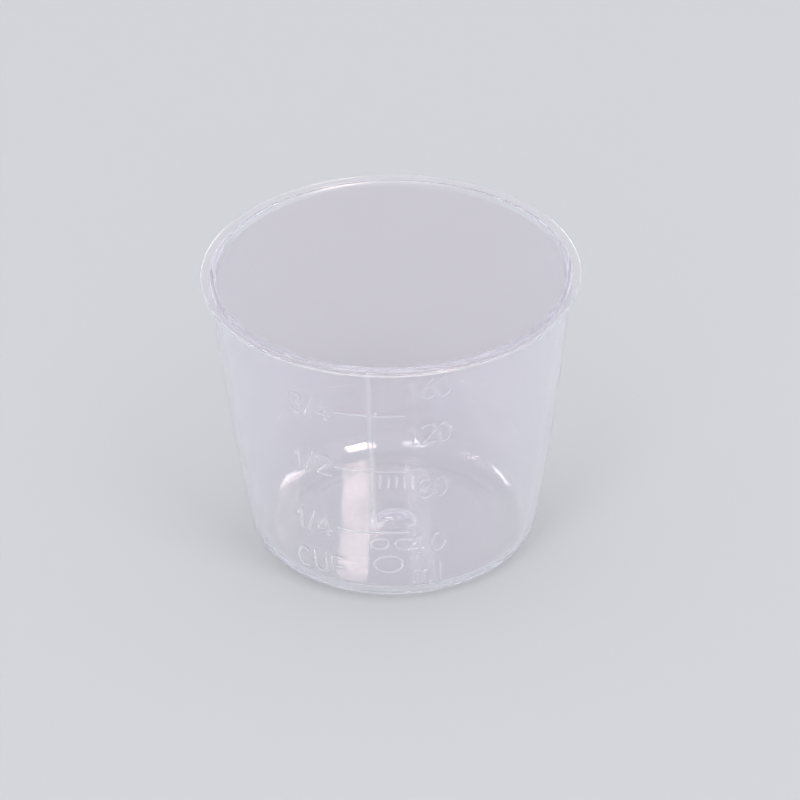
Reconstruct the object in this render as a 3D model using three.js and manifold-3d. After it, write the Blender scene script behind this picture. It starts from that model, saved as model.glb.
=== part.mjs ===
// A small clear measuring cup, moulded in one shot in clear polypropylene.
// Millimetres, +Z up. The origin is the centre of the base, on the surface that
// the cup stands on. The scale faces -Y.
//
// The real cup is one moulding. Each region of it is a closed solid of its own
// here: the lip, the wall, the rounded base corner, the foot ring, the floor,
// the gate dimple, and every raised mark. Neighbours meet face to face.

import * as THREE from "three";
import { mergeVertices } from "three/addons/utils/BufferGeometryUtils.js";
import Module from "manifold-3d";

// ---------------------------------------------------------------- dimensions
const HEIGHT = 57.3; // foot to the top of the lip
const LIP_R = 36.0; // outside radius of the lip
const LIP_T = 0.7; // lip thickness, its outer edge fully rounded
const LIP_EDGE = 0.15; // chamfer round the mouth

const WALL_TOP_R = 34.25; // outside of the wall just under the lip
const WALL_MID_R = 31.17; // outside of the wall at half its height
const WALL_BASE_R = 26.7; // the wall's outside curve carried down to z = 0
const WALL_T_TOP = 1.1; // wall thickness at the lip
const WALL_T_LOW = 1.25; // wall thickness at the base corner

const CORNER_R = 5.67; // outside radius of the base corner
const FILLET_R = 4.3; // inside radius between wall and floor
const SPLIT_Z = 5.3; // the wall ends here and the base corner begins

const FLOOR_TOP = 1.5; // upper face of the floor
const RECESS = 0.4; // the floor's underside is raised this far off the table
const RECESS_R = 20.6; // the flat underside's radius
const FOOT_IN_R = 20.95; // the foot ring's flat face begins here

const GATE_R = 4.15; // round gate dimple at the centre of the floor
const GATE_RISE = 0.95; // how far it bulges up inside
const GATE_T = 0.8; // its thickness at the middle
const NUB_R = 0.7; // trimmed stub of the gate under the dimple
const NUB_H = 0.35;

const SEGMENTS = 64; // facets round the cup
const WALL_STEPS = 5; // facets up the wall

const MARK_H = 0.25; // how far the scale stands off the wall
const MARK_SINK = 0.5; // depth of a mark's blank before the wall is cut away
const STROKE = 0.68; // width of a stroke of a numeral or letter
const FIGURE_H = 5.0; // height of a numeral
const LETTER_H = 5.2; // height of the letters at the bottom

const RIB_W = 0.8; // the upright rib that the graduation lines cross
const LINE_W = 0.75; // thickness of a graduation line
const LINE_HALF = 6.85; // half its length round the wall
const LINE_120 = 46.7; // heights of the graduation lines above the foot
const LINE_80 = 33.4;
const LINE_40 = 18.4;

const UNDER_H = 0.2; // marks under the floor stand this far down from it
const UNDER_TURN = (6 * Math.PI) / 180; // their row is turned this much

// ---------------------------------------------------------------- materials
const clear = (r, g, b) =>
  new THREE.MeshStandardMaterial({
    color: new THREE.Color(r, g, b),
    roughness: 0.12,
    metalness: 0,
    transparent: true,
    opacity: 0.35,
  });
const SHELL = clear(0.86, 0.85, 0.9);
const MARKS = clear(0.93, 0.93, 0.96);

// ------------------------------------------------------------- wall surfaces
const WALL_TOP_Z = HEIGHT - LIP_T;

// outside radius of the wall at height z: a shallow curve through three radii
function outside(z) {
  const u = z / WALL_TOP_Z;
  return (
    WALL_BASE_R * (1 - u) * (1 - 2 * u) +
    WALL_MID_R * 4 * u * (1 - u) +
    WALL_TOP_R * u * (2 * u - 1)
  );
}
function flare(z) {
  return (outside(z + 0.01) - outside(z - 0.01)) / 0.02;
}
function inside(z) {
  const u = z / WALL_TOP_Z;
  const t = WALL_T_LOW + (WALL_T_TOP - WALL_T_LOW) * u;
  return outside(z) - t * Math.hypot(1, flare(z));
}

// circular corner of radius r that rolls from the level z = base to a curve
function corner(curve, base, r) {
  let z = base + 0.84 * r,
    tilt = 0;
  for (let i = 0; i < 12; i++) {
    tilt = Math.atan((curve(z + 0.01) - curve(z - 0.01)) / 0.02);
    z = base + r * (1 - Math.sin(tilt));
  }
  return { cr: curve(z) - r * Math.cos(tilt), cz: base + r, z, tilt };
}
const outerCorner = corner(outside, 0, CORNER_R);
const innerCorner = corner(inside, FLOOR_TOP, FILLET_R);

function roll(c, r, steps) {
  const out = [];
  for (let i = 0; i <= steps; i++) {
    const a = -Math.PI / 2 + ((Math.PI / 2 - c.tilt) * i) / steps;
    out.push([c.cr + r * Math.cos(a), c.cz + r * Math.sin(a)]);
  }
  return out;
}

// ---------------------------------------------------------------- mesh tools
// A turned solid: the profile is a list of [radius, height].
function turned(profile, closed) {
  const pts = profile.map(([r, z]) => new THREE.Vector2(Math.max(r, 0), z));
  if (closed) pts.push(pts[0].clone());
  const g = new THREE.LatheGeometry(pts, SEGMENTS);
  g.rotateX(Math.PI / 2);
  return welded(g);
}

function welded(g) {
  g.deleteAttribute("normal");
  g.deleteAttribute("uv");
  return mergeVertices(g, 1e-4);
}

const wasm = await Module();
wasm.setup();

function solid(g) {
  const index = g.index.array;
  const keep = [];
  for (let i = 0; i < index.length; i += 3) {
    const [a, b, c] = [index[i], index[i + 1], index[i + 2]];
    if (a !== b && b !== c && a !== c) keep.push(a, b, c);
  }
  return new wasm.Manifold(
    new wasm.Mesh({
      numProp: 3,
      vertProperties: g.attributes.position.array,
      triVerts: new Uint32Array(keep),
    }),
  );
}

function geometryOf(m) {
  const mesh = m.getMesh();
  const n = mesh.numProp;
  const v = new Float32Array(mesh.numVert * 3);
  for (let i = 0; i < mesh.numVert; i++)
    v.set(mesh.vertProperties.subarray(i * n, i * n + 3), i * 3);
  const g = new THREE.BufferGeometry();
  g.setAttribute("position", new THREE.BufferAttribute(v, 3));
  g.setIndex(new THREE.BufferAttribute(new Uint32Array(mesh.triVerts), 1));
  g.computeVertexNormals();
  return g;
}

const cup = new THREE.Group();
cup.name = "measuring_cup";

function add(name, g, material) {
  if (!g.attributes.normal) g.computeVertexNormals();
  const m = new THREE.Mesh(g, material);
  m.name = name;
  cup.add(m);
  return m;
}

// ------------------------------------------------------------------ the shell
// Lip: flat on top, its outer edge a full half round, a small chamfer inside.
const lip = [];
lip.push([inside(WALL_TOP_Z), WALL_TOP_Z]);
lip.push([outside(WALL_TOP_Z), WALL_TOP_Z]);
for (let i = 0; i <= 6; i++) {
  const a = -Math.PI / 2 + (Math.PI * i) / 6;
  lip.push([
    LIP_R - LIP_T / 2 + (LIP_T / 2) * Math.cos(a),
    HEIGHT - LIP_T / 2 + (LIP_T / 2) * Math.sin(a),
  ]);
}
const mouth = inside(WALL_TOP_Z);
lip.push([mouth + 0.07 + LIP_EDGE, HEIGHT]);
lip.push([mouth + 0.07, HEIGHT - LIP_EDGE]);
const lipGeometry = turned(lip, true);
add("rim_lip", lipGeometry, SHELL);

// Wall: between the split level and the underside of the lip.
const wall = [];
for (let i = 0; i <= WALL_STEPS; i++) {
  const z = SPLIT_Z + ((WALL_TOP_Z - SPLIT_Z) * i) / WALL_STEPS;
  wall.push([outside(z), z]);
}
for (let i = WALL_STEPS; i >= 0; i--) {
  const z = SPLIT_Z + ((WALL_TOP_Z - SPLIT_Z) * i) / WALL_STEPS;
  wall.push([inside(z), z]);
}
const wallGeometry = turned(wall, true);
add("cup_wall", wallGeometry, SHELL);

// Base corner: rolls from the wall to the flat of the base.
const bend = [];
for (const p of roll(outerCorner, CORNER_R, 6)) bend.push(p);
bend.push([outside(SPLIT_Z), SPLIT_Z]);
bend.push([inside(SPLIT_Z), SPLIT_Z]);
for (const p of roll(innerCorner, FILLET_R, 5).reverse())
  if (p[0] > outerCorner.cr + 0.3) bend.push(p);
bend.push([outerCorner.cr, FLOOR_TOP]);
const cornerGeometry = turned(bend, true);
add("base_corner", cornerGeometry, SHELL);

// Foot ring: the flat ring that the cup stands on.
add(
  "foot_ring",
  turned(
    [
      [RECESS_R, RECESS],
      [FOOT_IN_R, 0],
      [outerCorner.cr, 0],
      [outerCorner.cr, FLOOR_TOP],
      [RECESS_R, FLOOR_TOP],
    ],
    true,
  ),
  SHELL,
);

// Floor: the flat disc inside the foot ring, open at the gate dimple.
add(
  "floor",
  turned(
    [
      [GATE_R, RECESS],
      [RECESS_R, RECESS],
      [RECESS_R, FLOOR_TOP],
      [GATE_R, FLOOR_TOP],
    ],
    true,
  ),
  SHELL,
);

// Gate dimple: a shallow dome inside the cup, hollow underneath.
const dome = [];
const CAP = 4;
for (let i = 0; i <= CAP; i++) {
  const r = (GATE_R * i) / CAP;
  const u = r / GATE_R;
  dome.push([r, FLOOR_TOP + GATE_RISE * Math.max(1 - u * u, 0) ** 1.4]);
}
dome.push([GATE_R, RECESS]);
for (let i = CAP - 1; i >= 0; i--) {
  const r = ((GATE_R - 0.7) * i) / (CAP - 1);
  const u = r / (GATE_R - 0.7);
  dome.push([
    r,
    RECESS +
      (FLOOR_TOP + GATE_RISE - GATE_T - RECESS) * Math.max(1 - u * u, 0) ** 1.4,
  ]);
}
const dimpleGeometry = turned(dome.reverse(), false);
add("gate_dimple", dimpleGeometry, SHELL);

// Gate stub: what is left of the sprue, hanging from the dimple's underside.
const stubTop = FLOOR_TOP + GATE_RISE - GATE_T;
const stubBlank = new THREE.CylinderGeometry(
  NUB_R,
  NUB_R * 0.8,
  NUB_H + 0.4,
  16,
  1,
);
stubBlank.rotateX(Math.PI / 2);
stubBlank.translate(0, 0, stubTop + 0.4 - (NUB_H + 0.4) / 2);
add(
  "gate_stub",
  geometryOf(solid(welded(stubBlank)).subtract(solid(dimpleGeometry))),
  SHELL,
);

// ------------------------------------------------------------- stroke figures
// A figure is a list of strokes; each is a centre line in a box of its own,
// x to the right, y up from the foot of the figure.
const line = (...p) => ({ p, closed: false });
function curve(cx, cy, rx, ry, a0, a1, n = 9) {
  const p = [];
  for (let i = 0; i <= n; i++) {
    const a = ((a0 + ((a1 - a0) * i) / n) * Math.PI) / 180;
    p.push([cx + rx * Math.cos(a), cy + ry * Math.sin(a)]);
  }
  return p;
}
const ring = (cx, cy, rx, ry, n = 14) => ({
  p: curve(cx, cy, rx, ry, 0, 360, n).slice(0, -1),
  closed: true,
});
const S = STROKE / 2;
const F = FIGURE_H;
const L = LETTER_H;
const FIGURES = {
  0: [ring(0, F / 2, 1.16, F / 2 - S)],
  1: [line([-1.15, F - S - 1.35], [0.0, F - S], [0.0, 0])],
  2: [
    line(
      ...curve(0, F - S - 1.2, 1.15, 1.2, 165, -30, 8),
      [-1.2, S],
      [1.35, S],
    ),
  ],
  3: [
    line(...curve(0, F - S - 1.08, 1.1, 1.08, 150, -90, 8)),
    line(...curve(0, S + 1.22, 1.2, 1.22, 90, -150, 8)),
  ],
  4: [
    line([0.55, 0], [0.55, F - S * 0.4]),
    line([0.55, F - S], [-1.45, 1.45], [1.45, 1.45]),
  ],
  6: [
    ring(0, S + 1.25, 1.16, 1.25, 12),
    line([1.0, F - S * 0.6], [0.15, F - 1.25], [-0.75, S + 2.3], [-1.1, S + 1.5]),
  ],
  8: [ring(0, F - S - 1.02, 0.98, 1.02, 10), ring(0, S + 1.2, 1.16, 1.2, 12)],
  slash: [line([-0.85, 0], [0.85, L])],
  C: [line(...curve(0, L / 2, 1.4, L / 2 - S, 50, 310, 12))],
  U: [
    line(
      [-1.2, L],
      ...curve(0, S + 1.2, 1.2, 1.2, 180, 360, 7),
      [1.2, L],
    ),
  ],
  P: [
    line([0, 0], [0, L - S * 0.4]),
    line([0, L - S], ...curve(1.35, L - S - 1.2, 1.2, 1.2, 90, -90, 6), [0, L - S - 2.4]),
  ],
  m: [
    line([-1.6, 0], [-1.6, 3.7]),
    line(...curve(-0.8, 2.55, 0.8, 0.85, 175, 0, 5), [0.0, 0]),
    line(...curve(0.8, 2.55, 0.8, 0.85, 180, 0, 5), [1.6, 0]),
  ],
  l: [line([0, 0], [0, L])],
};

// outline of one stroke, offset half a stroke to each side of its centre line
function outline({ p, closed }) {
  const n = p.length;
  const sideOf = (k) => {
    const prev = closed ? p[(k + n - 1) % n] : p[Math.max(k - 1, 0)];
    const next = closed ? p[(k + 1) % n] : p[Math.min(k + 1, n - 1)];
    const unit = (a, b) => {
      const d = Math.hypot(b[0] - a[0], b[1] - a[1]);
      return d > 0 ? [(b[0] - a[0]) / d, (b[1] - a[1]) / d] : null;
    };
    const t0 = unit(prev, p[k]) || unit(p[k], next);
    const t1 = unit(p[k], next) || t0;
    const nx = -(t0[1] + t1[1]),
      ny = t0[0] + t1[0];
    const d = Math.hypot(nx, ny);
    const cos = Math.max((nx * -t0[1] + ny * t0[0]) / d, 0.45);
    return [(nx / d) * (S / cos), (ny / d) * (S / cos)];
  };
  const left = [],
    right = [];
  for (let k = 0; k < n; k++) {
    const o = sideOf(k);
    left.push(new THREE.Vector2(p[k][0] + o[0], p[k][1] + o[1]));
    right.push(new THREE.Vector2(p[k][0] - o[0], p[k][1] - o[1]));
  }
  if (!closed) return new THREE.Shape(left.concat(right.reverse()));
  const area = THREE.ShapeUtils.area(left),
    other = THREE.ShapeUtils.area(right);
  const [out, hole] =
    Math.abs(area) > Math.abs(other) ? [left, right] : [right, left];
  const shape = new THREE.Shape(out);
  shape.holes.push(new THREE.Path(hole));
  return shape;
}

// a flat plate of one figure: the strokes joined
function plate(strokes) {
  let whole = null;
  for (const stroke of strokes) {
    const g = welded(
      new THREE.ExtrudeGeometry(outline(stroke), {
        depth: MARK_H + MARK_SINK,
        bevelEnabled: false,
        steps: 1,
      }),
    );
    const s = solid(g);
    whole = whole ? whole.add(s) : s;
  }
  return geometryOf(whole);
}

// wraps a plate round the wall: x becomes distance round, y height, z outward
function wrap(g, round, height) {
  const v = g.attributes.position;
  for (let i = 0; i < v.count; i++) {
    const z = v.getY(i) + height;
    const r = outside(z);
    const a = (v.getX(i) + round) / r;
    const q = r - MARK_SINK + v.getZ(i);
    v.setXYZ(i, q * Math.sin(a), -q * Math.cos(a), z);
  }
  return g;
}

const shells = [wallGeometry, cornerGeometry, lipGeometry].map(solid);

// the blank less the wall: its inner face lies on the wall
function onWall(name, g) {
  let m = solid(welded(g));
  for (const s of shells) m = m.subtract(s);
  add(name, geometryOf(m), MARKS);
}

function figure(name, key, round, height) {
  onWall(name, wrap(plate(FIGURES[key]), round, height));
}

// a bar of the scale, finely divided so that it follows the wall
function bar(name, x0, x1, z0, z1, nx, nz) {
  const w = x1 - x0,
    h = z1 - z0,
    d = MARK_H + MARK_SINK;
  const g = new THREE.BoxGeometry(w, h, d, nx, nz, 1);
  g.translate((x0 + x1) / 2, (z0 + z1) / 2, d / 2);
  onWall(name, wrap(g, 0, 0));
}

// ------------------------------------------------------------------ the scale
const half = LINE_W / 2;
bar("line_120", -LINE_HALF, LINE_HALF, LINE_120 - half, LINE_120 + half, 10, 1);
bar("line_80", -LINE_HALF, LINE_HALF, LINE_80 - half, LINE_80 + half, 10, 1);
bar("line_40", -LINE_HALF, LINE_HALF, LINE_40 - half, LINE_40 + half, 10, 1);
bar("scale_rib_top", -RIB_W / 2, RIB_W / 2, LINE_120 + half, WALL_TOP_Z, 1, 3);
bar("scale_rib_middle", -RIB_W / 2, RIB_W / 2, LINE_80 + half, LINE_120 - half, 1, 4);
bar("scale_rib_low", -RIB_W / 2, RIB_W / 2, LINE_40 + half, LINE_80 - half, 1, 4);

const ROW_160 = 50.1;
const ROW_120 = 39.5;
const ROW_80 = 26.2;
const ROW_40 = 12.7;
const ROW_ML = 5.0;
const ROW_CUP = 5.9;
figure("figure_160_1", "1", 8.45, ROW_160);
figure("figure_160_6", "6", 11.15, ROW_160);
figure("figure_160_0", "0", 14.1, ROW_160);
figure("figure_120_1", "1", 8.3, ROW_120);
figure("figure_120_2", "2", 11.0, ROW_120);
figure("figure_120_0", "0", 13.95, ROW_120);
figure("figure_80_8", "8", 9.95, ROW_80);
figure("figure_80_0", "0", 12.85, ROW_80);
figure("figure_40_4", "4", 7.95, ROW_40);
figure("figure_40_0", "0", 12.0, ROW_40);
figure("letter_ml_m", "m", 8.75, ROW_ML);
figure("letter_ml_l", "l", 12.1, ROW_ML);

const FRACTION_34 = LINE_120 - LETTER_H / 2;
const FRACTION_12 = LINE_80 - LETTER_H / 2;
const FRACTION_14 = LINE_40 - LETTER_H / 2;
figure("fraction_3_4_three", "3", -14.9, FRACTION_34);
figure("fraction_3_4_slash", "slash", -11.85, FRACTION_34);
figure("fraction_3_4_four", "4", -9.05, FRACTION_34);
figure("fraction_1_2_one", "1", -14.4, FRACTION_12);
figure("fraction_1_2_slash", "slash", -12.05, FRACTION_12);
figure("fraction_1_2_two", "2", -9.15, FRACTION_12);
figure("fraction_1_4_one", "1", -14.55, FRACTION_14);
figure("fraction_1_4_slash", "slash", -12.2, FRACTION_14);
figure("fraction_1_4_four", "4", -9.4, FRACTION_14);
figure("letter_cup_c", "C", -14.6, ROW_CUP);
figure("letter_cup_u", "U", -10.75, ROW_CUP);
figure("letter_cup_p", "P", -8.3, ROW_CUP);

// ------------------------------------------- plain marks under the floor
// A row of short bars, two small rings and one larger ring: mould marks.
function under(name, shape, x, y) {
  const g = new THREE.ExtrudeGeometry(shape, {
    depth: UNDER_H,
    bevelEnabled: false,
    steps: 1,
    curveSegments: 10,
  });
  const c = Math.cos(UNDER_TURN),
    s = Math.sin(UNDER_TURN);
  g.rotateZ(UNDER_TURN);
  g.translate(x * c - y * s, x * s + y * c, RECESS - UNDER_H);
  add(name, welded(g), MARKS);
}
function barShape(w, h) {
  return new THREE.Shape([
    new THREE.Vector2(-w / 2, -h / 2),
    new THREE.Vector2(w / 2, -h / 2),
    new THREE.Vector2(w / 2, h / 2),
    new THREE.Vector2(-w / 2, h / 2),
  ]);
}
function ringShape(r, w) {
  const s = new THREE.Shape();
  s.absarc(0, 0, r + w / 2, 0, Math.PI * 2, false);
  const h = new THREE.Path();
  h.absarc(0, 0, r - w / 2, 0, Math.PI * 2, true);
  s.holes.push(h);
  return s;
}
for (let i = 0; i < 5; i++)
  under("under_bar_" + (i + 1), barShape(0.55, 4.2), -3.2 + 1.6 * i, 14.0);
under("under_ring_left", ringShape(1.75, 0.55), -2.75, -7.4);
under("under_ring_right", ringShape(1.75, 0.55), 2.05, -7.4);
under("under_ring_front", ringShape(2.7, 0.55), -0.9, -14.2);

export default cup;
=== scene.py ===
# Looks of the clear measuring cup. Lengths are in millimetres until a mesh is
# made, then metres. The cup stands on z = 0, its axis is Z, its scale faces -Y.

import math

import bpy
import numpy as np
from mathutils import Matrix, Vector, geometry


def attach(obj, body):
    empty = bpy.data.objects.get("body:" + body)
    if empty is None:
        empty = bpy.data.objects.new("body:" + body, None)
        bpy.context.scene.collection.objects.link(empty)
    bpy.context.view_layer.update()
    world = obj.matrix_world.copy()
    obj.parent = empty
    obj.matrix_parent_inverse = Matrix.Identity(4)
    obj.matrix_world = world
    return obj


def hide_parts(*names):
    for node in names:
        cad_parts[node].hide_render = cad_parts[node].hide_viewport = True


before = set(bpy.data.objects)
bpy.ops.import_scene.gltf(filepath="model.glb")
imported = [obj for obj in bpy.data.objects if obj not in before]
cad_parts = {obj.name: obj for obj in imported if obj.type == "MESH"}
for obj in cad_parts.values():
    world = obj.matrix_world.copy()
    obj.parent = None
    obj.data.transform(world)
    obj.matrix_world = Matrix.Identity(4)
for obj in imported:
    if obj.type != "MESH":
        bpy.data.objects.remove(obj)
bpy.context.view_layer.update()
scene = bpy.context.scene
MM = 0.001

# ---------------------------------------------------------------- dimensions
HEIGHT = 57.3
LIP_R = 36.0
LIP_T = 0.7
WALL_TOP_Z = HEIGHT - LIP_T
WALL_TOP_R, WALL_MID_R, WALL_BASE_R = 34.25, 31.17, 26.7
WALL_T_TOP, WALL_T_LOW = 1.1, 1.25
CORNER_R, FILLET_R = 5.67, 4.3
FLOOR_TOP, RECESS, RECESS_R, FOOT_IN_R = 1.5, 0.4, 20.6, 20.95
GATE_R, GATE_RISE, GATE_T, NUB_R, NUB_H = 4.15, 0.95, 0.8, 0.7, 0.35
MARK_H, STROKE, FIGURE_H, LETTER_H = 0.115, 0.68, 5.0, 5.2
RIB_W, LINE_W, LINE_HALF = 0.8, 0.75, 6.85
LINE_120, LINE_80, LINE_40 = 46.7, 33.4, 18.4
UNDER_H, UNDER_TURN = 0.2, math.radians(6)
EDGE = 0.26  # a mark's side rises over this width


def outside(z):
    u = z / WALL_TOP_Z
    return (
        WALL_BASE_R * (1 - u) * (1 - 2 * u)
        + WALL_MID_R * 4 * u * (1 - u)
        + WALL_TOP_R * u * (2 * u - 1)
    )


def flare(z):
    return (outside(z + 0.01) - outside(z - 0.01)) / 0.02


def inside(z):
    t = WALL_T_LOW + (WALL_T_TOP - WALL_T_LOW) * z / WALL_TOP_Z
    return outside(z) - t * math.hypot(1, flare(z))


def corner(curve, base, r):
    z, tilt = base + 0.84 * r, 0.0
    for _ in range(12):
        tilt = math.atan((curve(z + 0.01) - curve(z - 0.01)) / 0.02)
        z = base + r * (1 - math.sin(tilt))
    return curve(z) - r * math.cos(tilt), base + r, z, tilt


def roll(c, r, steps):
    out = []
    for i in range(steps + 1):
        a = -math.pi / 2 + (math.pi / 2 - c[3]) * i / steps
        out.append((c[0] + r * math.cos(a), c[1] + r * math.sin(a)))
    return out


OUTER = corner(outside, 0.0, CORNER_R)
INNER = corner(inside, FLOOR_TOP, FILLET_R)

# ------------------------------------------------------------- stroke figures
S, F, L = STROKE / 2, FIGURE_H, LETTER_H


def arc(cx, cy, rx, ry, a0, a1, n=16):
    a = np.radians(np.linspace(a0, a1, n + 1))
    return list(zip(cx + rx * np.cos(a), cy + ry * np.sin(a)))


def ring(cx, cy, rx, ry):
    return arc(cx, cy, rx, ry, 0, 360, 32), True


def stroke(*p):
    return list(p), False


FIGURES = {
    "0": [ring(0, F / 2, 1.16, F / 2 - S)],
    "1": [stroke((-1.15, F - S - 1.35), (0.0, F - S), (0.0, 0))],
    "2": [stroke(*arc(0, F - S - 1.2, 1.15, 1.2, 165, -30), (-1.2, S), (1.35, S))],
    "3": [
        stroke(*arc(0, F - S - 1.08, 1.1, 1.08, 150, -90)),
        stroke(*arc(0, S + 1.22, 1.2, 1.22, 90, -150)),
    ],
    "4": [
        stroke((0.55, 0), (0.55, F - S * 0.4)),
        stroke((0.55, F - S), (-1.45, 1.45), (1.45, 1.45)),
    ],
    "6": [
        ring(0, S + 1.25, 1.16, 1.25),
        stroke((1.0, F - S * 0.6), (0.15, F - 1.25), (-0.75, S + 2.3), (-1.1, S + 1.5)),
    ],
    "8": [ring(0, F - S - 1.02, 0.98, 1.02), ring(0, S + 1.2, 1.16, 1.2)],
    "slash": [stroke((-0.85, 0), (0.85, L))],
    "C": [stroke(*arc(0, L / 2, 1.4, L / 2 - S, 50, 310, 20))],
    "U": [stroke((-1.2, L), *arc(0, S + 1.2, 1.2, 1.2, 180, 360), (1.2, L))],
    "P": [
        stroke((0, 0), (0, L - S * 0.4)),
        stroke((0, L - S), *arc(1.35, L - S - 1.2, 1.2, 1.2, 90, -90), (0, L - S - 2.4)),
    ],
    "m": [
        stroke((-1.6, 0), (-1.6, 3.7)),
        stroke(*arc(-0.8, 2.55, 0.8, 0.85, 175, 0), (0.0, 0)),
        stroke(*arc(0.8, 2.55, 0.8, 0.85, 180, 0), (1.6, 0)),
    ],
    "l": [stroke((0, 0), (0, L))],
}
F34, F12, F14 = (z - LETTER_H / 2 for z in (LINE_120, LINE_80, LINE_40))
# figure, distance round the wall from the rib, height of its foot
SCALE = [
    ("1", 8.45, 50.1), ("6", 11.15, 50.1), ("0", 14.1, 50.1),
    ("1", 8.3, 39.5), ("2", 11.0, 39.5), ("0", 13.95, 39.5),
    ("8", 9.95, 26.2), ("0", 12.85, 26.2),
    ("4", 7.95, 12.7), ("0", 12.0, 12.7),
    ("m", 8.75, 5.0), ("l", 12.1, 5.0),
    ("3", -14.9, F34), ("slash", -11.85, F34), ("4", -9.05, F34),
    ("1", -14.4, F12), ("slash", -12.05, F12), ("2", -9.15, F12),
    ("1", -14.55, F14), ("slash", -12.2, F14), ("4", -9.4, F14),
    ("C", -14.6, 5.9), ("U", -10.75, 5.9), ("P", -8.3, 5.9),
]


def stroke_distance(x, y, points, closed):
    """Signed distance from the edge of a stroke whose open ends are cut square."""
    best = np.full(x.shape, 9.0)
    n = len(points) - 1
    for k in range(n):
        (ax, ay), (bx, by) = points[k], points[k + 1]
        length = math.hypot(bx - ax, by - ay)
        if length < 1e-9:
            continue
        ux, uy = (bx - ax) / length, (by - ay) / length
        along = (x - ax) * ux + (y - ay) * uy
        across = np.abs((y - ay) * ux - (x - ax) * uy)
        over = np.maximum(-along, along - length)
        round_end = np.hypot(np.maximum(over, 0), across) - S
        before = (k == 0 and not closed) & (along < 0)
        after = (k == n - 1 and not closed) & (along > length)
        best = np.minimum(
            best, np.where(before | after, np.maximum(across - S, over), round_end)
        )
    return best


def box_distance(x, y, x0, x1, y0, y1):
    dx = np.maximum(x0 - x, x - x1)
    dy = np.maximum(y0 - y, y - y1)
    return np.maximum(dx, dy)


def relief(s, z):
    """How far the scale stands off the wall at distance s round it and height z."""
    d = np.full(s.shape, 9.0)
    for key, s0, z0 in SCALE:
        near = (np.abs(s - s0) < 3.2) & (z > z0 - 1) & (z < z0 + 6.5)
        if not near.any():
            continue
        for points, closed in FIGURES[key]:
            d[near] = np.minimum(
                d[near], stroke_distance(s[near] - s0, z[near] - z0, points, closed)
            )
    for level in (LINE_120, LINE_80, LINE_40):
        d = np.minimum(
            d,
            box_distance(
                s, z, -LINE_HALF, LINE_HALF, level - LINE_W / 2, level + LINE_W / 2
            ),
        )
    d = np.minimum(d, box_distance(s, z, -RIB_W / 2, RIB_W / 2, LINE_40, HEIGHT + 5))
    t = np.clip(0.5 - d / EDGE, 0, 1)
    return MARK_H * t * t * (3 - 2 * t)


# ---------------------------------------------------------------- mesh tools
def spaced(stops):
    """Numbers from one stop to the next; each stop is (value, spacing up to it)."""
    out = [stops[0][0]]
    for (a, _), (b, step) in zip(stops, stops[1:]):
        n = max(1, round((b - a) / step))
        out += list(a + (b - a) * (np.arange(n) + 1) / n)
    return np.array(out)


def soften(points, radii, steps=5):
    """Replaces each corner that has a radius by an arc."""
    out = [points[0]]
    for k in range(1, len(points) - 1):
        r = radii.get(k)
        p = np.array(points[k], float)
        if not r:
            out.append(tuple(p))
            continue
        a = np.array(points[k - 1], float) - p
        b = np.array(points[k + 1], float) - p
        la, lb = np.linalg.norm(a), np.linalg.norm(b)
        a, b = a / la, b / lb
        angle = math.acos(max(-1, min(1, float(a @ b))))
        cut = min(r / math.tan(angle / 2), 0.49 * la, 0.49 * lb)
        r = cut * math.tan(angle / 2)
        centre = p + (a + b) / np.linalg.norm(a + b) * (r / math.sin(angle / 2))
        p0, p1 = p + a * cut - centre, p + b * cut - centre
        turn = math.atan2(p0[0] * p1[1] - p0[1] * p1[0], float(p0 @ p1))
        for i in range(steps + 1):
            t = turn * i / steps
            c, s = math.cos(t), math.sin(t)
            out.append(
                tuple(centre + np.array([p0[0] * c - p0[1] * s, p0[0] * s + p0[1] * c]))
            )
    out.append(points[-1])
    return out


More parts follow.
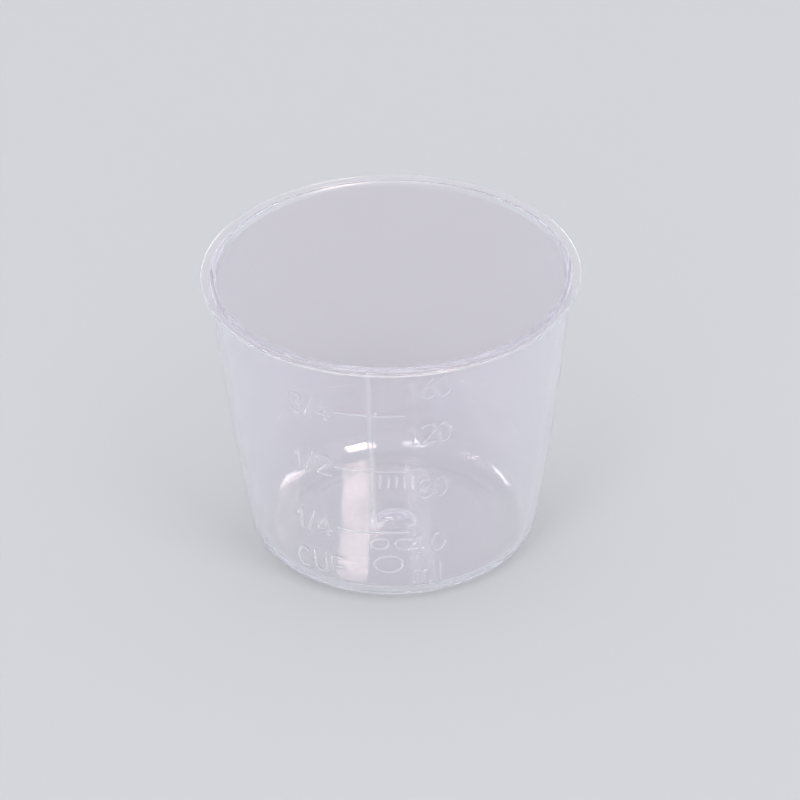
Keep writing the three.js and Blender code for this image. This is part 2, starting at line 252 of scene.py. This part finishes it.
class Skin:
    """Vertices and faces of one closed body, gathered ring by ring."""

    def __init__(self):
        self.v, self.f, self.sharp = [], [], set()
        self.milk, self.behind, self.matte, self.level = {}, {}, {}, 0.02

    def ring(self, theta, r, z, more=0.0):
        theta = np.asarray(theta, float)
        r = np.broadcast_to(r, theta.shape)
        z = np.broadcast_to(z, theta.shape)
        start = len(self.v)
        self.v += list(zip(r * np.sin(theta), -r * np.cos(theta), z))
        level = np.broadcast_to(self.level + more, theta.shape)
        self.milk.update((start + i, float(m)) for i, m in enumerate(level))
        return np.arange(start, start + len(theta)), theta

    def join(self, low, high):
        """Faces between two rings, the outside to the right of low to high."""
        (a, ta), (b, tb) = low, high
        n, m = len(a), len(b)
        if n == m:
            for j in range(n):
                k = (j + 1) % n
                self.f.append((a[j], a[k], b[k], b[j]))
            return
        ta = np.append(ta, ta[0] + 2 * math.pi)
        tb = np.append(tb, tb[0] + 2 * math.pi)
        i = j = 0
        while i < n or j < m:
            if j >= m or (i < n and ta[i + 1] - ta[0] <= tb[j + 1] - tb[0]):
                self.f.append((a[i % n], a[(i + 1) % n], b[j % m]))
                i += 1
            else:
                self.f.append((a[i % n], b[(j + 1) % m], b[j % m]))
                j += 1

    def cap(self, ring, z, top):
        a, _ = ring
        centre = len(self.v)
        self.v.append((0.0, 0.0, z))
        n = len(a)
        for j in range(n):
            k = (j + 1) % n
            self.f.append((a[j], a[k], centre) if top else (a[k], a[j], centre))

    def mesh(self, name):
        me = bpy.data.meshes.new(name)
        me.from_pydata(
            [tuple(float(c) * MM for c in p) for p in self.v],
            [],
            [tuple(int(i) for i in f) for f in self.f],
        )
        me.validate()
        me.polygons.foreach_set("use_smooth", [True] * len(me.polygons))
        for key, values, usual in (
            ("milk", self.milk, 0.02),
            ("milk_behind", self.behind, 0.01),
            ("matte", self.matte, 0.0),
        ):
            layer = me.attributes.new(key, "FLOAT", "POINT")
            layer.data.foreach_set(
                "value", [values.get(i, usual) for i in range(len(self.v))]
            )
        if self.sharp:
            flags = [
                (min(e.vertices), max(e.vertices)) in self.sharp for e in me.edges
            ]
            me.edges.foreach_set("use_edge_sharp", flags)
        me.update()
        return me


# ------------------------------------------------------------- the cup's skin
# Columns follow distance round the wall where the scale is, and angle behind.
FRONT = 17.6
FINE = 0.14
COLUMNS = spaced(
    [
        (-FRONT, 1), (-16.6, 0.5), (-6.55, FINE), (-0.75, 0.95), (0.75, FINE),
        (6.3, 0.95), (15.6, FINE), (FRONT, 0.6),
    ]
)
BACK = 64


def columns(r):
    edge = FRONT / r
    front = COLUMNS / r
    back = edge + (2 * math.pi - 2 * edge) * np.arange(1, BACK) / BACK
    return np.concatenate([front, back])


skin = Skin()
WALL_MILK, CORNER_MILK, MARK_MILK, UNDER_MILK = 0.19, 0.21, 0.1, 0.6
RIB_MILK, GATE_MILK = 0.14, 0.26
LIP_MILK, LIP_SIDE_MILK, EDGE_MILK, IN_MILK = 0.045, 0.12, 0.2, 0.03
LIP_EDGE_MILK, LIP_MATTE = 0.22, 0.22
FLOOR_MILK = 0.02

# underside: the ring that stands on the table
under = soften(
    [(17.4, RECESS), (17.7, RECESS), (21.5, 0), (OUTER[0], 0)], {1: 4, 2: 4}, 3
)
low = columns(outside(3.0))
recess_ring = skin.ring(low, under[0][0], under[0][1])
last = recess_ring
for r, z in under[1:] + roll(OUTER, CORNER_R, 14)[1:-4]:
    skin.level = IN_MILK if z < 0.1 else CORNER_MILK
    ring_ = skin.ring(low, r, z)
    skin.join(last, ring_)
    last = ring_
z_start = max(p[1] for p in roll(OUTER, CORNER_R, 14)[1:-4])


def corner_r(z):
    """Outside radius at height z, base corner and wall together."""
    if z >= OUTER[2]:
        return outside(z)
    return OUTER[0] + math.sqrt(max(CORNER_R**2 - (CORNER_R - z) ** 2, 0))


# wall, with the scale standing off it
HEIGHTS = spaced(
    [
        (z_start, 1), (4.75, 0.4), (11.35, FINE), (12.5, 0.5), (21.25, FINE),
        (25.9, 1.0), (36.2, FINE), (39.2, 0.9), (49.5, FINE), (49.95, 0.3),
        (55.25, FINE), (WALL_TOP_Z - 0.45, 0.3),
    ]
)[1:]
for z in HEIGHTS:
    r = corner_r(z)
    theta = columns(outside(z))
    s = np.where(theta <= math.pi, theta, theta - 2 * math.pi) * r
    lift = np.zeros(len(theta))
    n = len(COLUMNS)
    lift[:n] = relief(s[:n], np.full(n, z))
    fade = max(0.0, min(1.0, (OUTER[2] + 1.5 - z) / 3))
    skin.level = WALL_MILK + (CORNER_MILK - WALL_MILK) * fade
    more = np.where(np.abs(s) < RIB_W, RIB_MILK, MARK_MILK)
    ring_ = skin.ring(theta, r + lift, z, more * lift / MARK_H)
    skin.join(last, ring_)
    last = ring_

# lip, mouth, inner wall and floor
top = columns(outside(WALL_TOP_Z))
edge = [
    (
        LIP_R - LIP_T / 2 + LIP_T / 2 * math.cos(a),
        HEIGHT - LIP_T / 2 + LIP_T / 2 * math.sin(a),
    )
    for a in np.linspace(-math.pi / 2, math.pi / 2, 11)
]
mouth = inside(WALL_TOP_Z)
over = soften(
    [(outside(WALL_TOP_Z - 0.45), WALL_TOP_Z - 0.45), (outside(WALL_TOP_Z), WALL_TOP_Z)]
    + [(LIP_R - LIP_T / 2, WALL_TOP_Z)],
    {1: 0.35},
    5,
)[1:]
over += edge[1:]
inner_wall = [(inside(z), z) for z in np.linspace(WALL_TOP_Z - 0.6, INNER[2], 26)]
over += soften(
    [edge[-1], (mouth + 0.07, HEIGHT), (mouth, WALL_TOP_Z - 0.3), inner_wall[0]],
    {1: 0.28},
    6,
)[1:-1]
over += inner_wall
over += roll(INNER, FILLET_R, 16)[::-1][1:]
rib_rows = 6


def skin_milk(r, z, k):
    """Milkiness of the lip, its inner edge, the inner wall and the floor."""
    if k < 11:
        return LIP_SIDE_MILK
    if k < 16:
        return LIP_EDGE_MILK
    if k < 18:
        return LIP_MILK
    if z > WALL_TOP_Z - 0.35 and r < mouth + 0.3:
        return EDGE_MILK
    return FLOOR_MILK if z < FLOOR_TOP + 1 else IN_MILK


for k, (r, z) in enumerate(over):
    lift = 0.0
    if k < rib_rows:  # the rib runs out into the fillet under the lip
        lift = np.zeros(len(top))
        s = COLUMNS * 1.0
        t = np.clip(0.5 - (np.abs(s) - RIB_W / 2) / EDGE, 0, 1)
        lift[: len(COLUMNS)] = (
            MARK_H * t * t * (3 - 2 * t) * max(0.0, 1 - max(r - 34.25, 0) / 0.3)
        )
    skin.level = skin_milk(r, z, k)
    ring_ = skin.ring(top, r + lift, z)
    if k < 18:
        skin.behind.update((int(i), 0.03) for i in ring_[0])
    if skin.level in (LIP_EDGE_MILK, EDGE_MILK, LIP_SIDE_MILK):
        skin.matte.update((int(i), LIP_MATTE) for i in ring_[0])
    skin.join(last, ring_)
    last = ring_

skin.level = FLOOR_MILK
EVEN = np.arange(96) * 2 * math.pi / 96
for r in (20.0, 17.0, 13.0, 9.5):
    ring_ = skin.ring(top, r, FLOOR_TOP)
    skin.join(last, ring_)
    last = ring_
for r in (7.0, 5.2, 4.5, 4.3):
    ring_ = skin.ring(EVEN, r, FLOOR_TOP)
    skin.join(last, ring_)
    last = ring_
for u in (1.0, 0.96, 0.91, 0.85, 0.78, 0.7, 0.61, 0.51, 0.41, 0.31, 0.21, 0.11):
    z = FLOOR_TOP + GATE_RISE * (1 - u * u) ** 1.4
    skin.level = GATE_MILK if u > 0.8 else FLOOR_MILK
    ring_ = skin.ring(EVEN, GATE_R * u, z)
    skin.join(last, ring_)
    last = ring_
skin.cap(last, FLOOR_TOP + GATE_RISE, True)

# underside of the gate dimple, with the stub of the gate
skin.level = IN_MILK
HOLLOW = GATE_R - 0.7
stub_top = FLOOR_TOP + GATE_RISE - GATE_T


def hollow(r):
    u = r / HOLLOW
    return RECESS + (stub_top - RECESS) * (1 - u * u) ** 1.4


gate = [(HOLLOW * u, hollow(HOLLOW * u)) for u in (1.0, 0.96, 0.9, 0.82, 0.72, 0.6, 0.48, 0.38)]
gate += soften(
    [
        (0.95, hollow(0.95)), (NUB_R, hollow(NUB_R)),
        (NUB_R * 0.8, stub_top - NUB_H), (0.2, stub_top - NUB_H),
    ],
    {1: 0.1, 2: 0.08},
    3,
)
rings = [skin.ring(EVEN, r, z) for r, z in gate]
for a, b in zip(rings[1:], rings):
    skin.join(a, b)
skin.cap(rings[-1], stub_top - NUB_H, False)

# ---------------------- flat underside with its plain marks, cut as one sheet
points, heights, edges = [], [], []


def outline(loop, z, index=None):
    start = len(points)
    for p in loop:
        points.append(Vector((float(p[0]), float(p[1]))))
        heights.append(z)
    n = len(loop)
    edges.extend((start + i, start + (i + 1) % n) for i in range(n))
    return list(range(start, start + n))


def flat_loop(ring_):
    return [skin.v[i][:2] for i in ring_[0]]


rim_ids = outline(flat_loop(recess_ring), RECESS)
hole_ids = outline(flat_loop(rings[0]), RECESS)
turn = (math.cos(UNDER_TURN), math.sin(UNDER_TURN))


def turned(p, x, y):
    px, py = p[0] + x, p[1] + y
    return (px * turn[0] - py * turn[1], px * turn[1] + py * turn[0])


def circle(r, n):
    return [
        (r * math.cos(2 * math.pi * i / n), r * math.sin(2 * math.pi * i / n))
        for i in range(n)
    ]


def bar_loop(w, h, rounding=0.12):
    a, b = w / 2 - rounding, h / 2 - rounding
    out = []
    for cx, cy, a0 in ((a, -b, -90), (a, b, 0), (-a, b, 90), (-a, -b, 180)):
        for i in range(4):
            t = math.radians(a0 + 30 * i)
            out.append((cx + rounding * math.cos(t), cy + rounding * math.sin(t)))
    return out


mark_loops = []
SLOPE = 0.09
for i in range(5):
    x = -3.2 + 1.6 * i
    foot = outline([turned(p, x, 14.0) for p in bar_loop(0.55, 4.2)], RECESS)
    crest = outline(
        [turned(p, x, 14.0) for p in bar_loop(0.55 - 2 * SLOPE, 4.2 - 2 * SLOPE, 0.05)],
        RECESS - UNDER_H,
    )
    mark_loops += [foot, crest]
for r, x, y in ((1.75, -2.75, -7.4), (1.75, 2.05, -7.4), (2.7, -0.9, -14.2)):
    for radius, z in (
        (r + 0.275, RECESS), (r + 0.275 - SLOPE, RECESS - UNDER_H),
        (r - 0.275 + SLOPE, RECESS - UNDER_H), (r - 0.275, RECESS),
    ):
        mark_loops.append(outline([turned(p, x, y) for p in circle(radius, 48)], z))
out_v, out_e, out_f, orig_v, _, _ = geometry.delaunay_2d_cdt(
    points, edges, [], 0, 1e-6
)
base = len(skin.v)
remap = []
for k, p in enumerate(out_v):
    source = orig_v[k][0]
    if source < len(rim_ids):
        remap.append(int(recess_ring[0][source]))
    elif source < len(rim_ids) + len(hole_ids):
        remap.append(int(rings[0][0][source - len(rim_ids)]))
    else:
        remap.append(len(skin.v))
        if heights[source] < RECESS:
            skin.behind[len(skin.v)] = UNDER_MILK
        skin.v.append((p[0], p[1], heights[source]))
where = {orig_v[k][0]: remap[k] for k in range(len(out_v))}
for f in out_f:
    if all(len(rim_ids) <= orig_v[i][0] < len(rim_ids) + len(hole_ids) for i in f):
        continue  # the opening where the gate dimple is
    pts = [out_v[i] for i in f]
    area = sum(
        pts[i].x * pts[(i + 1) % len(pts)].y - pts[(i + 1) % len(pts)].x * pts[i].y
        for i in range(len(pts))
    )
    ids = [remap[i] for i in f]
    skin.f.append(tuple(ids[::-1] if area > 0 else ids))
for loop in mark_loops:
    n = len(loop)
    for i in range(n):
        a, b = where[loop[i]], where[loop[(i + 1) % n]]
        skin.sharp.add((min(a, b), max(a, b)))

cup_mesh = skin.mesh("clear_cup")
cup = bpy.data.objects.new("clear_cup", cup_mesh)
scene.collection.objects.link(cup)
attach(cup, "root")
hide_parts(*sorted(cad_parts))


# ------------------------------------------------------------------ materials
def node(nt, kind, **values):
    n = nt.nodes.new(kind)
    for key, value in values.items():
        n.inputs[key.replace("_", " ")].default_value = value
    return n


def plastic():
    """Clear moulded plastic: slow ripples, a fine grain, a breath of violet, and
    milkiness that is strongest on the outer skin."""
    m = bpy.data.materials.new("clear_moulding")
    m.use_nodes = True
    nt = m.node_tree
    nt.nodes.clear()
    link = nt.links.new
    out = nt.nodes.new("ShaderNodeOutputMaterial")
    b = node(
        nt, "ShaderNodeBsdfPrincipled", Base_Color=(0.92, 0.878, 0.918, 1),
        Transmission_Weight=0.9, IOR=1.49, Roughness=0.03,
    )
    side = nt.nodes.new("ShaderNodeNewGeometry")
    milk = nt.nodes.new("ShaderNodeAttribute")
    milk.attribute_name = "milk"
    milk_behind = nt.nodes.new("ShaderNodeAttribute")
    milk_behind.attribute_name = "milk_behind"
    facing = node(nt, "ShaderNodeLayerWeight", Blend=0.5)

    def math_node(operation, a, b_, c=None):
        n = nt.nodes.new("ShaderNodeMath")
        n.operation = operation
        for k, v in enumerate((a, b_, c)):
            if v is None:
                continue
            if isinstance(v, (int, float)):
                n.inputs[k].default_value = v
            else:
                link(v, n.inputs[k])
        return n.outputs["Value"]

    depth = math_node("MULTIPLY_ADD", facing.outputs["Facing"], 2.2, 0.1)
    haze = math_node("MULTIPLY", milk.outputs["Fac"], depth)
    front = math_node("SUBTRACT", 1.0, math_node("MINIMUM", haze, 0.6))
    clear = node(nt, "ShaderNodeMapRange", From_Min=0.0, From_Max=1.0)
    link(front, clear.inputs["To Min"])
    link(math_node("SUBTRACT", 1.0, milk_behind.outputs["Fac"]), clear.inputs["To Max"])
    link(side.outputs["Backfacing"], clear.inputs["Value"])
    link(clear.outputs["Result"], b.inputs["Transmission Weight"])
    # the milky skin is bluer than the clear plastic
    shade = nt.nodes.new("ShaderNodeMix")
    shade.data_type = "RGBA"
    shade.inputs[6].default_value = (0.92, 0.878, 0.918, 1)
    shade.inputs[7].default_value = (0.935, 0.952, 1.0, 1)
    milkiness = node(
        nt, "ShaderNodeMapRange", From_Min=0.98, From_Max=0.86, To_Min=0.0, To_Max=1.0
    )
    link(clear.outputs["Result"], milkiness.inputs["Value"])
    link(milkiness.outputs["Result"], shade.inputs[0])
    link(shade.outputs[2], b.inputs["Base Color"])
    coord = nt.nodes.new("ShaderNodeTexCoord")
    slow = node(nt, "ShaderNodeTexNoise", Scale=60.0, Detail=2.0)
    link(coord.outputs["Object"], slow.inputs["Vector"])
    bump = node(nt, "ShaderNodeBump", Strength=0.08, Distance=0.0004)
    link(slow.outputs["Fac"], bump.inputs["Height"])
    link(bump.outputs["Normal"], b.inputs["Normal"])
    grain = node(nt, "ShaderNodeTexNoise", Scale=900.0, Detail=3.0)
    link(coord.outputs["Object"], grain.inputs["Vector"])
    rough = node(
        nt, "ShaderNodeMapRange", From_Min=0.3, From_Max=0.7, To_Min=0.015, To_Max=0.045
    )
    link(grain.outputs["Fac"], rough.inputs["Value"])
    matte = nt.nodes.new("ShaderNodeAttribute")
    matte.attribute_name = "matte"
    link(
        math_node("ADD", rough.outputs["Result"], matte.outputs["Fac"]),
        b.inputs["Roughness"],
    )
    # light that falls through a wall: less of it passes at a glancing angle
    glance = node(nt, "ShaderNodeFresnel", IOR=1.49)
    index = node(
        nt, "ShaderNodeMapRange", From_Min=0.0, From_Max=1.0, To_Min=1.49, To_Max=1 / 1.49
    )
    link(side.outputs["Backfacing"], index.inputs["Value"])
    link(index.outputs["Result"], glance.inputs["IOR"])
    passed = node(
        nt, "ShaderNodeMapRange", From_Min=0.0, From_Max=1.0, To_Min=0.99, To_Max=0.0
    )
    link(glance.outputs["Fac"], passed.inputs["Value"])
    through = nt.nodes.new("ShaderNodeBsdfTransparent")
    link(passed.outputs["Result"], through.inputs["Color"])
    path = nt.nodes.new("ShaderNodeLightPath")
    mix = nt.nodes.new("ShaderNodeMixShader")
    link(
        math_node("MAXIMUM", path.outputs["Is Shadow Ray"], path.outputs["Is Diffuse Ray"]),
        mix.inputs["Fac"],
    )
    # light that keeps running inside the wall is scattered before it comes out
    long_way = node(
        nt, "ShaderNodeMapRange", From_Min=6.0, From_Max=8.5, To_Min=0.0, To_Max=0.9
    )
    link(path.outputs["Ray Depth"], long_way.inputs["Value"])
    scattered = node(nt, "ShaderNodeBsdfDiffuse", Color=(0.86, 0.84, 0.95, 1))
    inner = nt.nodes.new("ShaderNodeMixShader")
    link(long_way.outputs["Result"], inner.inputs["Fac"])
    link(b.outputs["BSDF"], inner.inputs[1])
    link(scattered.outputs["BSDF"], inner.inputs[2])
    link(inner.outputs["Shader"], mix.inputs[1])
    link(through.outputs["BSDF"], mix.inputs[2])
    link(mix.outputs["Shader"], out.inputs["Surface"])
    # light that runs down inside the wall is slowly absorbed
    bulk = node(
        nt, "ShaderNodeVolumeAbsorption", Color=(0.1, 0.0, 0.13, 1), Density=1.2
    )
    link(bulk.outputs["Volume"], out.inputs["Volume"])
    return m


cup.data.materials.append(plastic())


def floor_material():
    m = bpy.data.materials.new("pale_floor")
    m.use_nodes = True
    b = m.node_tree.nodes["Principled BSDF"]
    b.inputs["Base Color"].default_value = (0.60, 0.607, 0.639, 1)
    b.inputs["Roughness"].default_value = 0.9
    b.inputs["Specular IOR Level"].default_value = 0.0
    return m


bpy.ops.mesh.primitive_plane_add(size=8, location=(0, 0, -0.00002))
floor = bpy.context.object
floor.name = "floor_stage"
floor.data.materials.append(floor_material())

# --------------------------------------------------------------------- camera
TURN = math.radians(7.66)
PITCH, ROLL = 0.5714, 0.01643
ca, sa = math.cos(TURN), math.sin(TURN)
cp, sp = math.cos(PITCH), math.sin(PITCH)
right = Vector((ca, sa, 0))
ahead = Vector((-sa * cp, ca * cp, -sp))
up = Vector((-sa * sp, ca * sp, cp))
cam_right = right * math.cos(ROLL) - up * math.sin(ROLL)
cam_up = up * math.cos(ROLL) + right * math.sin(ROLL)
camera = bpy.data.objects.new("camera", bpy.data.cameras.new("camera"))
scene.collection.objects.link(camera)
place = Matrix((cam_right, cam_up, -ahead)).transposed().to_4x4()
eye = (1.349, -1355.76, 900.34)
place.translation = Vector(
    ((eye[0] * ca - eye[1] * sa) * MM, (eye[0] * sa + eye[1] * ca) * MM, eye[2] * MM)
)
camera.matrix_world = place
camera.data.sensor_width = 36
camera.data.lens = 8461.5 / 800 * 36
camera.data.clip_start, camera.data.clip_end = 0.05, 50
scene.camera = camera


# --------------------------------------------------------------------- lights
FAR = 10.0


def softbox(name, azimuth, elevation, wide, high, radiance, shine, tone=(1, 1, 1)):
    """A soft light; azimuth 0 is over the camera, positive to the right, and its
    width and height are angles. One lamp, of the given radiance, lights the table
    and the plastic's haze; its twin, of radiance shine, is what the plastic
    mirrors and bends."""
    a, e = math.radians(azimuth), math.radians(elevation)
    toward = Vector(
        (math.sin(a) * math.cos(e), -math.cos(a) * math.cos(e), math.sin(e))
    )
    toward = Matrix.Rotation(TURN, 3, "Z") @ toward
    width = 2 * FAR * math.tan(math.radians(wide) / 2)
    height = 2 * FAR * math.tan(math.radians(high) / 2)
    for part, power in (("lit", radiance), ("seen", shine)):
        if not power:
            continue
        data = bpy.data.lights.new(name + "_" + part, "AREA")
        data.shape = "RECTANGLE"
        data.size, data.size_y = width, height
        data.energy = power * math.pi * width * height
        o = bpy.data.objects.new(name + "_" + part, data)
        scene.collection.objects.link(o)
        o.location = toward * FAR + Vector((0, 0, 0.02))
        o.rotation_mode = "QUATERNION"
        o.rotation_quaternion = (-toward).to_track_quat("-Z", "Y")
        if part == "lit":
            data.cycles.use_multiple_importance_sampling = False
            o.visible_glossy = o.visible_transmission = False
            continue
        o.visible_diffuse = False
        data.color = tone
        data.use_nodes = True
        nt = data.node_tree
        emit = nt.nodes["Emission"]
        path = nt.nodes.new("ShaderNodeLightPath")
        direct = nt.nodes.new("ShaderNodeMath")
        direct.operation = "LESS_THAN"
        direct.inputs[1].default_value = 0.5
        nt.links.new(path.outputs["Diffuse Depth"], direct.inputs[0])
        nt.links.new(direct.outputs[0], emit.inputs["Strength"])


softbox("softbox_right", 36, 52, 18, 18, 6.6, 32, (1.0, 0.84, 0.74))
softbox("softbox_left", -22, 52, 14, 18, 5.95, 8)
softbox("side_right", 112, 31, 22, 6, 0, 13)
softbox("side_left", -112, 31, 24, 6, 0, 13)
softbox("fill", 0, 22, 60, 24, 2.8, 0)

world = bpy.data.worlds.new("studio")
scene.world = world
world.use_nodes = True
world.cycles.sampling_method = "NONE"
sky = world.node_tree.nodes["Background"]
sky.inputs["Color"].default_value = (0.97, 0.985, 1.0, 1)
# the white tent all round: what it throws on the table, and how bright it looks
tent = world.node_tree.nodes.new("ShaderNodeLightPath")
tent_level = node(
    world.node_tree, "ShaderNodeMapRange", From_Min=0.0, From_Max=1.0, To_Min=1.05, To_Max=0.714
)
world.node_tree.links.new(tent.outputs["Diffuse Depth"], tent_level.inputs["Value"])
world.node_tree.links.new(tent_level.outputs["Result"], sky.inputs["Strength"])

scene.view_settings.view_transform = "Standard"
scene.cycles.max_bounces = 64
scene.cycles.transmission_bounces = 64
scene.cycles.glossy_bounces = 64
scene.cycles.diffuse_bounces = 4
scene.cycles.sample_clamp_indirect = 60
scene.cycles.transparent_max_bounces = 16
